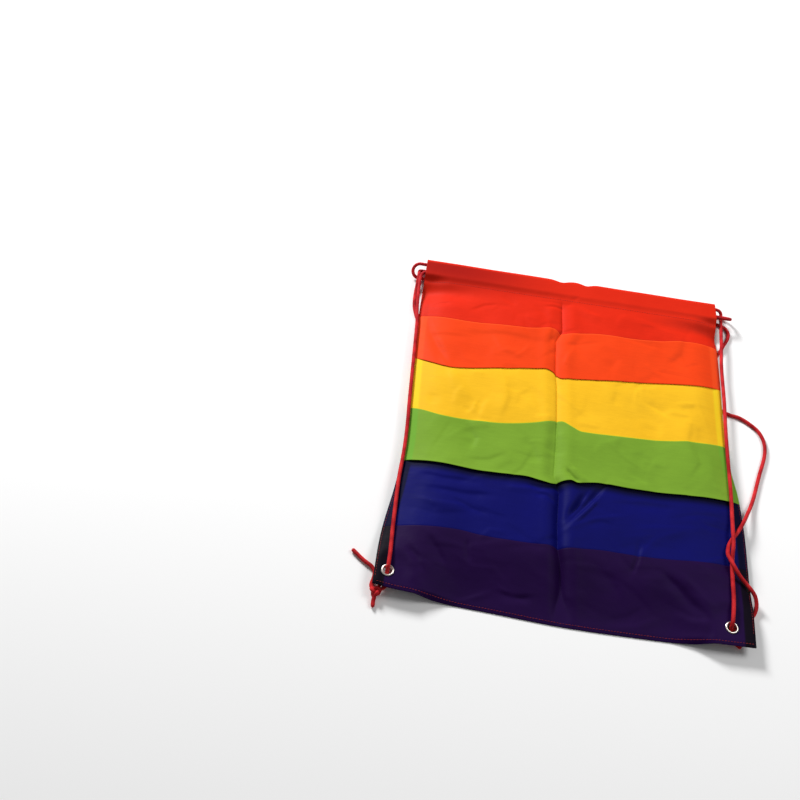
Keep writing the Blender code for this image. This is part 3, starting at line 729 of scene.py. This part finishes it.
def channel_height(x, y):
    """Outer layer of the front channel: a low ridge over each cord and a shallow hollow between them."""
    cords = np.minimum(1.0, 1.20 * sum(np.exp(-((y - at) / 0.0064) ** 2) for at in (RUN_LOW, RUN_HIGH)))
    hollow = 0.0152 + 0.0003 * np.sin(33 * x + 0.7) + 0.0002 * np.sin(87 * x)
    for line, width, depth in FOLDS[:2]:
        hollow = hollow + 0.5 * fold_height(line, width, depth, x, y)
    return hollow + (FRONT_OVER - hollow) * cords


def front_wall(x, y):
    """Middle of the front wall from the bottom seam to the lip, channel included."""
    below = front_height(x, np.minimum(y, STITCH_LINE))
    blend_in = ease((y - 0.150) / (STITCH_LINE - 0.150))
    below = below + (stitch_height(x) - below) * blend_in**2
    above = stitch_height(x) + (channel_height(x, y) - stitch_height(x)) * ease((y - STITCH_LINE) / 0.0080)
    return np.where(y <= STITCH_LINE, below, above)


ys = np.linspace(0.16, 0.20, 9)
print("channel profile in mm:", np.round(1000 * front_wall(np.full(9, -0.05), ys), 1))


# %% [markdown]
# ## Woven polyester
# The strips are 190T polyester taffeta: a plain weave of fine filament yarn, dyed, with a thin coating on the
# back. It is smooth and slightly shiny, and light catches it in soft patches. Real threads lie 0.25 mm apart,
# too fine to show, so the weave is drawn at 0.6 mm. Where two layers lie on each other, as in a seam allowance,
# less light comes through and the colour is deeper and clearer. The near-black double colours of the purple and
# blue, and the dark one of the red, are painted shade as well, at the side margins, under the green seam and in
# the channel. The gloss is set well under the real cloth's, because a full gloss washes out the dark strips under
# this soft light.

# %% Cloth material
THREAD = 0.0006
# For purple, blue and red the double-layer colour is near-black or dark red, so it also paints shade.
CLOTH_COLOURS = {                     # single layer, its darker patches, and double layer
    "purple": ("#22063E", "#190430", "#07020C"),
    "blue": ("#0A0C64", "#07084E", "#030326"),
    "green": ("#7AA032", "#6C922A", "#62A430"),
    "yellow": ("#EEB924", "#E2AC1C", "#ECD222"),
    "orange": ("#EA4416", "#DC3A10", "#EE5020"),
    "red": ("#DC2C14", "#CC220C", "#98120A")}


def taffeta(name, colours):
    m = new_material(f"polyester_taffeta_{name}")
    place = add(m, "TexCoord")
    split = add(m, "SeparateXYZ", Vector=place.outputs["Object"])
    threads = []
    for axis in ("X", "Y"):
        phase = add(m, "Math", {"operation": "MULTIPLY"}, _0=split.outputs[axis], _1=math.pi / THREAD)
        threads.append(add(m, "Math", {"operation": "SINE"}, _0=phase.outputs[0]).outputs[0])
    weave = add(m, "Math", {"operation": "MULTIPLY"}, _0=threads[0], _1=threads[1])
    patch = add(m, "TexNoise", Vector=place.outputs["Object"], Scale=22.0, Detail=2.0)
    stretch = add(m, "Mapping", Vector=place.outputs["Object"])
    stretch.inputs["Scale"].default_value = (60.0, 700.0, 60.0)
    slub = add(m, "TexNoise", Vector=stretch.outputs["Vector"], Scale=1.0, Detail=2.0)
    tone = add(m, "MixRGB", Fac=patch.outputs["Fac"], Color1=linear(colours[0]), Color2=linear(colours[1]))
    shade = add(m, "Math", {"operation": "MULTIPLY_ADD"}, _0=slub.outputs["Fac"], _1=0.14, _2=0.93)
    lined = add(m, "MixRGB", {"blend_type": "MULTIPLY"}, Fac=1.0, Color1=tone.outputs["Color"],
                Color2=shade.outputs[0])
    # The mark below mixes in the double-layer colour, which on the purple, blue and red is partly painted shade.
    layers_and_shade = add(m, "Attribute", {"attribute_name": "layers_and_shade"})
    colour = add(m, "MixRGB", Fac=layers_and_shade.outputs["Fac"], Color1=lined.outputs["Color"],
                 Color2=linear(colours[2]))
    rough = add(m, "Math", {"operation": "MULTIPLY_ADD"}, _0=slub.outputs["Fac"], _1=0.16, _2=0.50)
    crumple = add(m, "TexNoise", Vector=place.outputs["Object"], Scale=140.0, Detail=3.0)
    height = add(m, "Math", {"operation": "MULTIPLY_ADD"}, _0=weave.outputs[0], _1=0.06,
                 _2=crumple.outputs["Fac"])
    bump = add(m, "Bump", Strength=0.30, Distance=0.0006, Height=height.outputs[0])
    shader = add(m, "BsdfPrincipled", Base_Color=colour.outputs["Color"], Roughness=rough.outputs[0],
                 Normal=bump.outputs["Normal"])
    shader.inputs["Specular IOR Level"].default_value = 0.05
    return finish_material(m, shader)


CLOTH = {name: taffeta(name, colours) for name, colours in CLOTH_COLOURS.items()}
print("cloth materials:", len(CLOTH))


# %% [markdown]
# ## Cutting and laying the strips
# Each strip is a fine grid, laid on the heights above, and thickened to 0.4 mm. A grid a millimetre and a half
# wide, and finer along the crease, is enough for the sharpest fold. The holes for the eyelets are made by taking
# out the faces inside a circle and drawing the rim onto it.

# %% Strip builder
GRID = 0.0015
HEM_ALLOWANCE = 0.009     # width of the folded-in cloth along the sides
HOLE = 0.0050


def grid_piece(name, places, material):
    """A sheet from an array of places, rows by columns by three."""
    rows, columns = places.shape[:2]
    index = np.arange(rows * columns).reshape(rows, columns)
    quads = np.stack([index[:-1, :-1], index[:-1, 1:], index[1:, 1:], index[1:, :-1]], axis=-1)
    return mesh_piece(name, places.reshape(-1, 3), quads.reshape(-1, 4).tolist(), material)


def thicken(piece):
    wall = piece.modifiers.new("cloth thickness", "SOLIDIFY")
    wall.thickness = FABRIC
    wall.offset = 0.0
    piece.modifiers.new("flat shading up to the cut edge", "WEIGHTED_NORMAL").weight = 95
    return piece


def columns_across(step):
    """Shares of the width, one step apart and closer together along the crease."""
    at = [0.0]
    while at[-1] < 0.334:
        at.append(at[-1] + step * (1 - 0.6 * math.exp(-((at[-1] - 0.158) / 0.012) ** 2)))
    return np.array(at) / at[-1]


def spread_rows(low, high, count, shares, height):
    """Places between two lines across the wall, each a function of x."""
    places = []
    for t in np.linspace(0.0, 1.0, count):
        x = (shares - 0.5) * 0.34
        for _ in range(3):
            y = low(x) + (high(x) - low(x)) * t
            x = -curve(LEFT_EDGE, y) + shares * (curve(LEFT_EDGE, y) + curve(RIGHT_EDGE, y))
        places.append(np.stack([x, y, height(x, y)], axis=1))
    return np.array(places)


def note_layers_and_shade(piece, name, seams, channel=False):
    """Marks two-ply cloth at the sides, inside the seams and where the channel's cloth lies on itself, and paints
    shade with the same mark: near-black side margins on the purple and blue, and a channel band that darkens to the
    left and upwards to just below the lip.
    """
    points = np.array([v.co for v in piece.data.vertices])
    x, y = points[:, 0], points[:, 1]
    # The side margins are a double layer. On the purple and blue they go near-black, which is painted shade as well.
    to_hem = half_width(x, y) - np.abs(x) - HEM_ALLOWANCE
    double_and_shade = {"purple": 0.95, "blue": 0.95, "red": 0.15}.get(name, 0.6) * (1 - ease(to_hem / 0.0018))
    for line, reach in seams:
        double_and_shade = np.maximum(double_and_shade, 1 - ease((np.abs(y - line(x)) - reach / 3) / max(0.001, reach)))
    # The channel is a double layer and also painted shade: the mark starts at y 0.150 on single cloth and grows to
    # the left, where the channel faces away from the light.
    if channel:
        touching_and_shade = 0.15 + 0.80 * (1 - ease((x + 0.140) / 0.150))
        double_and_shade = np.maximum(double_and_shade, touching_and_shade * ease((y - 0.150) / 0.042) * (1 - ease((y - 0.1975) / 0.003)))
    piece.data.attributes.new("layers_and_shade", "FLOAT", "POINT").data.foreach_set("value", double_and_shade.astype(np.float32))


def punch(piece):
    """Opens a round hole at each eyelet."""
    mesh = piece.data
    for ex, ey in EYELETS.values():
        at = np.array([v.co for v in mesh.vertices])[:, :2] - (ex, ey)
        gap = np.hypot(*at.T)
        if gap.min() > HOLE:
            continue
        inner = {p.index for p in mesh.polygons if np.hypot(p.center.x - ex, p.center.y - ey) < HOLE}
        rim = {v for p in mesh.polygons if p.index in inner for v in p.vertices}
        rim &= {v for p in mesh.polygons if p.index not in inner for v in p.vertices}
        for v in rim:
            mesh.vertices[v].co.x = ex + at[v][0] / gap[v] * HOLE
            mesh.vertices[v].co.y = ey + at[v][1] / gap[v] * HOLE
        remove_faces(mesh, inner)


def remove_faces(mesh, numbers):
    work = bmesh.new()
    work.from_mesh(mesh)
    work.faces.ensure_lookup_table()
    bmesh.ops.delete(work, geom=[work.faces[i] for i in numbers], context="FACES")
    work.to_mesh(mesh)
    work.free()


print("columns across a front strip:", len(columns_across(GRID)))


# %% [markdown]
# ## Front strips
# Five plain strips and the red one, which goes on over the lip. Above the blue and the yellow strip the seam is
# turned: the strip runs 1.8 mm on under the one above it. At the flat seams the strips meet edge to edge.

# %% Front strips
TUCK = 0.0018             # a turned seam's strip runs this far under the one above


def front_line(name):
    return lambda x: curve(FRONT_SEAMS[name], x)


def front_strip(number):
    name = STRIPS[number]
    turned_high = name in ("blue", "yellow")
    low = bottom_line if number == 0 else front_line(STRIPS[number - 1])
    high = front_line(name)
    below = lambda x, y: front_wall(x, np.minimum(y, high(x) - 0.0004))
    height = below if turned_high else front_wall
    places = spread_rows(low, high, round(0.07 / GRID), columns_across(GRID), height)
    if turned_high:
        places = np.concatenate([places, places[-1:] + (0.0, TUCK, -0.0001)])
    piece = grid_piece(f"front_{name}_cloth", places, CLOTH[name])
    # The blue band under the green seam is partly its seam allowance and partly a painted shadow of the green
    # strip's turned edge, in the blue's near-black double colour. The yellow and orange bands are thin double-layer
    # lines.
    bands = {"blue": [(high, 0.008)], "yellow": [(low, 0.001)], "orange": [(high, 0.001)]}
    note_layers_and_shade(piece, name, bands.get(name, []))
    if number == 0:
        punch(piece)
    return piece


def red_front_strip():
    """The red strip with its channel: up to the lip, round it, and back under the cords to the stitch line."""
    shares = columns_across(GRID)
    low = front_line("orange")
    up = spread_rows(low, lambda x: np.full(x.shape, FRONT_LIP), 58, shares, front_wall)
    up[:, :, 1] -= mouth_pull(up[:, :, 0]) * ease((up[:, :, 1] - 0.176) / 0.024)
    lip = up[-1]
    inner = np.full(len(shares), FRONT_HEM)
    rows = [row for row in up]
    middle, radius = (lip[:, 2] + inner) / 2, (lip[:, 2] - inner) / 2
    for angle in np.radians((30, 60, 90, 120, 150, 180)):
        rows.append(np.stack([lip[:, 0], lip[:, 1] + radius * 0.8 * np.sin(angle),
                              middle + radius * np.cos(angle)], axis=1))
    for y in np.arange(0.199, STITCH_LINE + 0.0008, -GRID * 1.5):
        meet = stitch_height(lip[:, 0]) - FABRIC - 0.0001
        rise = ease((STITCH_LINE + 0.005 - y) / 0.004)
        pulled = mouth_pull(lip[:, 0]) * ease((y - 0.176) / 0.024)
        rows.append(np.stack([lip[:, 0], np.full(len(lip), y) - pulled, inner + (meet - inner) * rise], axis=1))
    piece = grid_piece("front_red_cloth", np.array(rows), CLOTH["red"])
    note_layers_and_shade(piece, "red", [], channel=True)
    return piece


front_pieces = [front_strip(number) for number in range(5)] + [red_front_strip()]
print("front strips:", [len(piece.data.vertices) for piece in front_pieces])


# %% [markdown]
# ## Back strips
# The back wall lies face down on the floor, flat in the middle and lifted by the cords at its sides. It is cut
# like the front one, so it has the same six strips and a channel of its own, whose inner edge shows at the mouth.

# %% Back strips
BACK_GRID = 0.0025
BACK_FLOOR = 0.0003       # middle of the back channel's outer layer
BACK_OVER = 0.0053        # middle of its inner layer, over the cords


def back_line(name):
    return lambda x: back_seam(name, x)


def back_wall(x, y):
    return back_height(x, y) + 0.0005 * ease((y - 0.168) / 0.006) * (1 - ease((y - STITCH_LINE - 0.003) / 0.004))


def back_strip(number):
    name = STRIPS[number]
    low = bottom_line if number == 0 else back_line(STRIPS[number - 1])
    places = spread_rows(low, back_line(name), round(0.07 / BACK_GRID), columns_across(BACK_GRID), back_wall)
    piece = grid_piece(f"back_{name}_cloth", places, CLOTH[name])
    note_layers_and_shade(piece, name, [])
    if number == 0:
        punch(piece)
    return piece


def red_back_strip():
    """Up to the mouth along the floor, round the lip, and back over the cords to the stitch line."""
    shares = columns_across(BACK_GRID)
    top = BACK_LIP - 0.0024
    up = spread_rows(back_line("orange"), lambda x: np.full(x.shape, top), 36, shares, back_wall)
    up[:, :, 1] -= mouth_pull(up[:, :, 0]) * ease((up[:, :, 1] - 0.176) / 0.030)
    rows = [row for row in up]
    x, y = up[-1][:, 0], up[-1][:, 1]
    middle, radius = (BACK_OVER + BACK_FLOOR) / 2, (BACK_OVER - BACK_FLOOR) / 2
    for angle in np.radians((25, 50, 75, 100, 125, 150, 180)):
        rows.append(np.stack([x, y + radius * 0.9 * np.sin(angle),
                              np.full(len(x), middle - radius * np.cos(angle))], axis=1))
    for at in np.arange(0.206, STITCH_LINE + 0.003, -BACK_GRID):
        cords = sum(np.exp(-((at - run) / 0.0054) ** 2) for run in (RUN_LOW, RUN_HIGH))
        height = 0.0030 + (BACK_OVER - 0.0030) * min(1.0, 1.25 * cords)
        height = height + (BACK_FLOOR + 0.0012 - height) * ease((STITCH_LINE + 0.0075 - at) / 0.005)
        height = height + (BACK_OVER - height) * ease((at - 0.201) / 0.005)
        pulled = mouth_pull(x) * ease((at - 0.176) / 0.030)
        rows.append(np.stack([x, np.full(len(x), at) - pulled, np.full(len(x), height)], axis=1))
    piece = grid_piece("back_red_cloth", np.array(rows), CLOTH["red"])
    note_layers_and_shade(piece, "red", [])
    return piece


back_pieces = [back_strip(number) for number in range(5)] + [red_back_strip()]
print("back strips:", [len(piece.data.vertices) for piece in back_pieces])


# %% [markdown]
# ## The cloth rides on the sack
# Cloth that lies flat moves with the sack as one body. Each strip gets its thickness here, and its size when it is
# laid out, the mean distance between its two seams, is printed.

# %% Cloth pieces ride on the sack
SACK_WIDTH = 0.332
CHANNEL_FOLD = 0.033      # cloth folded in at the mouth, measured from the lip


def flat_size(name):
    """Width and height of a strip as it is seen, laid out flat."""
    lines = [np.mean([y for _, y in BOTTOM])] + [np.mean([y for _, y in FRONT_SEAMS[n]]) for n in STRIPS[:5]]
    lines.append(FRONT_LIP + CHANNEL_FOLD)
    number = STRIPS.index(name)
    return (SACK_WIDTH, round(float(lines[number + 1] - lines[number]), 3))


for side, pieces in (("front", front_pieces), ("back", back_pieces)):
    for name, piece in zip(STRIPS, pieces):
        thicken(piece)
        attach(piece, "sack")
        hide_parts(f"{side}_{name}_strip")
        flat_size(name)
        print(piece.name, "flat size in mm:", [round(1000 * value) for value in flat_size(name)])
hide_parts("front_channel_hem")
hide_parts("back_channel_hem")


# %% [markdown]
# ## Stitches
# The channels are closed by a lockstitch in red thread, the bottom edge by another one, and the side seams show
# a little of the thread that holds them. A stitch is a short thread that dips into the cloth at both ends.

# %% Thread material
def sewing_thread():
    m = new_material("polyester_sewing_thread")
    place = add(m, "TexCoord")
    grain = add(m, "TexNoise", Vector=place.outputs["Object"], Scale=900.0, Detail=2.0)
    tone = add(m, "ValToRGB", Fac=grain.outputs["Fac"])
    tone.color_ramp.elements[0].position, tone.color_ramp.elements[0].color = 0.35, linear("#8A1010")
    tone.color_ramp.elements[1].position, tone.color_ramp.elements[1].color = 0.65, linear("#C02A22")
    bump = add(m, "Bump", Strength=0.3, Distance=0.0001, Height=grain.outputs["Fac"])
    shader = add(m, "BsdfPrincipled", Base_Color=tone.outputs["Color"], Roughness=0.5,
                 Normal=bump.outputs["Normal"])
    return finish_material(m, shader)


THREAD_FINISH = sewing_thread()
STITCH = 0.0018
STITCH_GAP = 0.0009
STITCH_RADIUS = 0.00018
STITCH_STEP = 0.0003       # spacing of the places that a stitch is drawn from
STITCH_SIDES = 6


def sew(name, line):
    """A row of stitches along a line of places on the cloth, as one piece."""
    line = evenly(line, STITCH_STEP)
    per_stitch, per_gap = round(STITCH / STITCH_STEP), round(STITCH_GAP / STITCH_STEP)
    points, faces, k = [], [], np.arange(STITCH_SIDES)
    for start in range(0, len(line) - per_stitch, per_stitch + per_gap):
        part = line[start:start + per_stitch + 1:3]
        share = np.linspace(0.0, 1.0, len(part))
        part = part + np.outer(0.00030 * np.sin(np.pi * share) - 0.00012, (0.0, 0.0, 1.0))
        along = part[-1] - part[0]
        side = np.cross(along, (0.0, 0.0, 1.0))
        side /= np.linalg.norm(side)
        for place, t in zip(part, share):
            radius = STITCH_RADIUS * (0.55 + 0.45 * math.sin(math.pi * t))
            turn = 2 * np.pi * k / STITCH_SIDES
            points += list(place + radius * (np.outer(np.cos(turn), side) + np.outer(np.sin(turn), (0, 0, 1.0))))
        base = len(points) - STITCH_SIDES * len(part)
        for ring in range(len(part) - 1):
            a, after = base + STITCH_SIDES * ring, (k + 1) % STITCH_SIDES
            b = a + STITCH_SIDES
            faces += np.stack([a + k, b + k, b + after, a + after], 1).tolist()
        faces += [(base + k).tolist(), (base + STITCH_SIDES * (len(part) - 1) + k[::-1]).tolist()]
    piece = mesh_piece(name, points, faces, THREAD_FINISH)
    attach(piece, "sack")
    return piece


print("made", THREAD_FINISH.name)


# %% [markdown]
# ## Rows of stitches
# The rows follow the channels' stitch line, the bottom edge and the two sides. Their places are read from the
# same heights as the cloth, so that every stitch touches it.

# %% Sew the seams
def on_front(x, y, lift=FABRIC / 2 + 0.0001):
    return np.stack([x, y, front_wall(x, y) + lift], axis=1)


across = np.linspace(-1.0, 1.0, 400)
bottom_x = 0.1685 * across
stitch_x = 0.1600 * across
stitch_y = np.full(400, STITCH_LINE)
seams_sewn = [sew("bottom_stitches", on_front(bottom_x, bottom_line(bottom_x) + 0.0030)),
              sew("front_channel_stitches", on_front(stitch_x, stitch_y))]
back_face = back_wall(stitch_x, stitch_y) - FABRIC / 2 + 0.0001
seams_sewn.append(sew("back_channel_stitches", np.stack([stitch_x, stitch_y, back_face], axis=1)))
up_side = np.linspace(-0.196, 0.166, 400)
for side, x in (("left", -curve(LEFT_EDGE, up_side) + 0.0016), ("right", curve(RIGHT_EDGE, up_side) - 0.0016)):
    seams_sewn.append(sew(f"{side}_side_stitches", on_front(x, up_side)))
print("rows of stitches:", [len(piece.data.polygons) for piece in seams_sewn])


# %% [markdown]
# ## Eyelets
# Each corner has a two-part brass eyelet with bright nickel plate: a barrel with a rolled rim on the front, and
# a flat washer behind. Turned parts are drawn as a profile and spun round their axis, finely, because a small
# bright ring shows every flat.

# %% Nickel
def nickel_plate():
    m = new_material("bright_nickel_plate")
    place = add(m, "TexCoord")
    scuffs = add(m, "TexNoise", Vector=place.outputs["Object"], Scale=1400.0, Detail=4.0)
    rough = add(m, "Math", {"operation": "MULTIPLY_ADD"}, _0=scuffs.outputs["Fac"], _1=0.16, _2=0.26)
    bump = add(m, "Bump", Strength=0.12, Distance=0.0001, Height=scuffs.outputs["Fac"])
    shader = add(m, "BsdfPrincipled", Base_Color=linear("#E4DFD6"), Roughness=rough.outputs[0],
                 Normal=bump.outputs["Normal"])
    shader.inputs["Metallic"].default_value = 1.0
    return finish_material(m, shader)


NICKEL = nickel_plate()
print("made", NICKEL.name)


def turned_ring(name, profile, place, replaced):
    """Spins a closed profile of (radius, height) points about the vertical line through a place."""
    count = 96
    turn = 2 * np.pi * np.arange(count) / count
    points = [(place[0] + r * math.cos(a), place[1] + r * math.sin(a), place[2] + h)
              for a in turn for r, h in profile]
    size = len(profile)
    faces = []
    for step in range(count):
        a, b = step * size, (step + 1) % count * size
        for i in range(size):
            j = (i + 1) % size
            faces.append((a + i, b + i, b + j, a + j))
    piece = mesh_piece(name, points, faces, NICKEL)
    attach(piece, "sack")
    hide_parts(replaced)
    return piece


# %% [markdown]
# ## The two eyelets
# The rim stands on the cloth and the washer lies under it, with both walls clamped between. The profile of the
# rim is half of a round bead, which runs on into the barrel through the hole.

# %% Eyelets in place
RIM_FLOOR = SEAM_STACK + 0.0002      # the rim sits this high over the seat, on the cloth
RIM_CENTRE = 0.0050
rolled = [(RIM_CENTRE - 0.0009 * math.cos(a), RIM_FLOOR + 0.0009 * math.sin(a))
          for a in np.radians((180, 155, 130, 105, 80, 55, 30, 0))]
profile = rolled + [(0.0041, -0.0007), (0.0047, -0.0007), (0.0047, RIM_FLOOR)]
washer = [(0.0049, -0.0002), (0.0064, -0.0002), (0.0064, -0.0006), (0.0049, -0.0006)]
eyelets = []
for side, (ex, ey) in EYELETS.items():
    eyelets.append(turned_ring(f"{side}_nickel_eyelet", profile[::-1], (ex, ey, SEAT), f"{side}_eyelet"))
    eyelets.append(turned_ring(f"{side}_nickel_washer", washer[::-1], (ex, ey, SEAT), f"{side}_eyelet_washer"))
print("eyelet parts:", [piece.name for piece in eyelets])


# %% [markdown]
# ## Floor and light
# A plain pale floor and soft light. The main light hangs over the far side of the sack, so that whatever faces
# the mouth is bright and whatever faces the foot is in shade, and the pale surroundings fill the shadows.

# %% Floor and light
def pale_floor():
    m = new_material("matt_white_floor")
    shader = add(m, "BsdfPrincipled", Base_Color=linear("#F4F4F4"), Roughness=0.9)
    shader.inputs["Specular IOR Level"].default_value = 0.1
    return finish_material(m, shader)


floor = mesh_piece("floor", [(-3, -3, 0), (3, -3, 0), (3, 3, 0), (-3, 3, 0)], [(0, 1, 2, 3)], pale_floor())


def hang_light(name, place, target, size, power):
    lamp = bpy.data.lights.new(name, "AREA")
    lamp.shape = "DISK"
    lamp.size = size
    lamp.energy = power
    item = bpy.data.objects.new(name, lamp)
    item.location = place
    item.rotation_euler = (Vector(target) - Vector(place)).to_track_quat("-Z", "Y").to_euler()
    bpy.context.scene.collection.objects.link(item)


hang_light("window", (-1.10, 1.40, 1.10), (0, 0, 0), 0.6, 56.0)
hang_light("lamp", (0.75, 0.25, 1.10), (0.15, 0, 0), 0.7, 7.5)
world = bpy.data.worlds.new("pale room")
world.use_nodes = True
world.node_tree.nodes["Background"].inputs["Color"].default_value = linear("#FFFFFF")
world.node_tree.nodes["Background"].inputs["Strength"].default_value = 0.20
bpy.context.scene.world = world
bpy.context.scene.view_settings.view_transform = "Standard"
